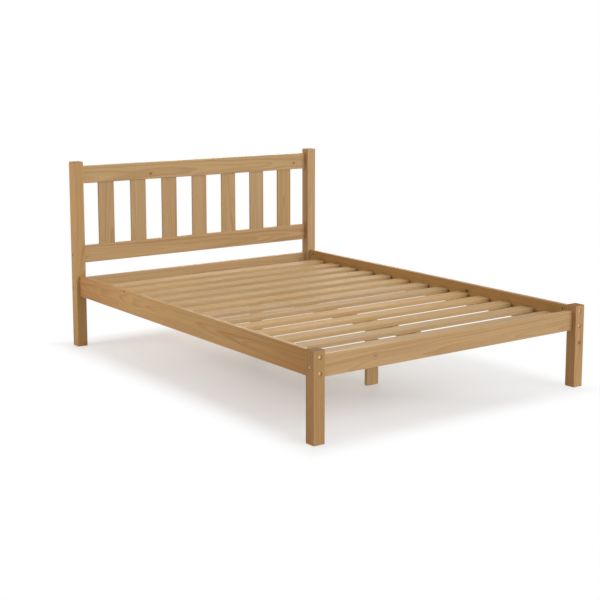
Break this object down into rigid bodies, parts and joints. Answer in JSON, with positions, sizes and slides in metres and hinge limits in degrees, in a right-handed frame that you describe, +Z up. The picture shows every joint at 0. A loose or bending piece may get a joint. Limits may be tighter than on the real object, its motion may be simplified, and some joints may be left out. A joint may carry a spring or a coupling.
{
  "type": "bed frame",
  "caption": "Low double bed frame in pine with a slatted headboard, square posts, a low foot rail, bolted side rails and a slatted base on a legged centre beam.",
  "frame": {"origin": "on the floor, under the middle of the frame's outer box", "axes": "+Z up, +Y towards the head end, +X to the right seen from the foot end"},
  "size_m": [1.45, 2, 0.909],
  "materials": {
    "honey_pine": "satin lacquer",
    "slat_pine": "planed, bare",
    "bolt_brass": "brass plated",
    "steel": "zinc plated",
    "dowel_wood": "bare, fluted"
  },
  "bodies": {
    "root": {"head_post_left": "honey_pine", "head_post_right": "honey_pine", "foot_leg_left": "honey_pine", "foot_leg_right": "honey_pine", "side_rail_left": "honey_pine", "side_rail_right": "honey_pine", "foot_rail": "honey_pine", "head_base_rail": "honey_pine", "headboard_top_rail": "honey_pine", "headboard_lower_rail": "honey_pine", "headboard_slat_1": "honey_pine", "headboard_slat_2": "honey_pine", "headboard_slat_3": "honey_pine", "headboard_slat_4": "honey_pine", "headboard_slat_5": "honey_pine", "headboard_slat_6": "honey_pine", "headboard_slat_7": "honey_pine", "centre_leg_foot": "honey_pine", "centre_leg_head": "honey_pine", "ledger_left": "slat_pine", "ledger_right": "slat_pine", "centre_beam": "slat_pine", "beam_cleat_foot": "slat_pine", "beam_cleat_head": "slat_pine", "base_slat_01": "slat_pine", "base_slat_02": "slat_pine", "base_slat_03": "slat_pine", "base_slat_04": "slat_pine", "base_slat_05": "slat_pine", "base_slat_06": "slat_pine", "base_slat_07": "slat_pine", "base_slat_08": "slat_pine", "base_slat_09": "slat_pine", "base_slat_10": "slat_pine", "base_slat_11": "slat_pine", "base_slat_12": "slat_pine", "base_slat_13": "slat_pine", "side_rail_bolts": "bolt_brass", "cross_rail_bolts": "bolt_brass", "side_rail_nuts": "steel", "cross_rail_nuts": "steel", "headboard_screws": "steel", "ledger_screws": "steel", "cleat_screws": "steel", "centre_leg_screws": "steel", "cross_rail_dowels": "dowel_wood", "headboard_dowels": "dowel_wood"}
  },
  "joints": []
}
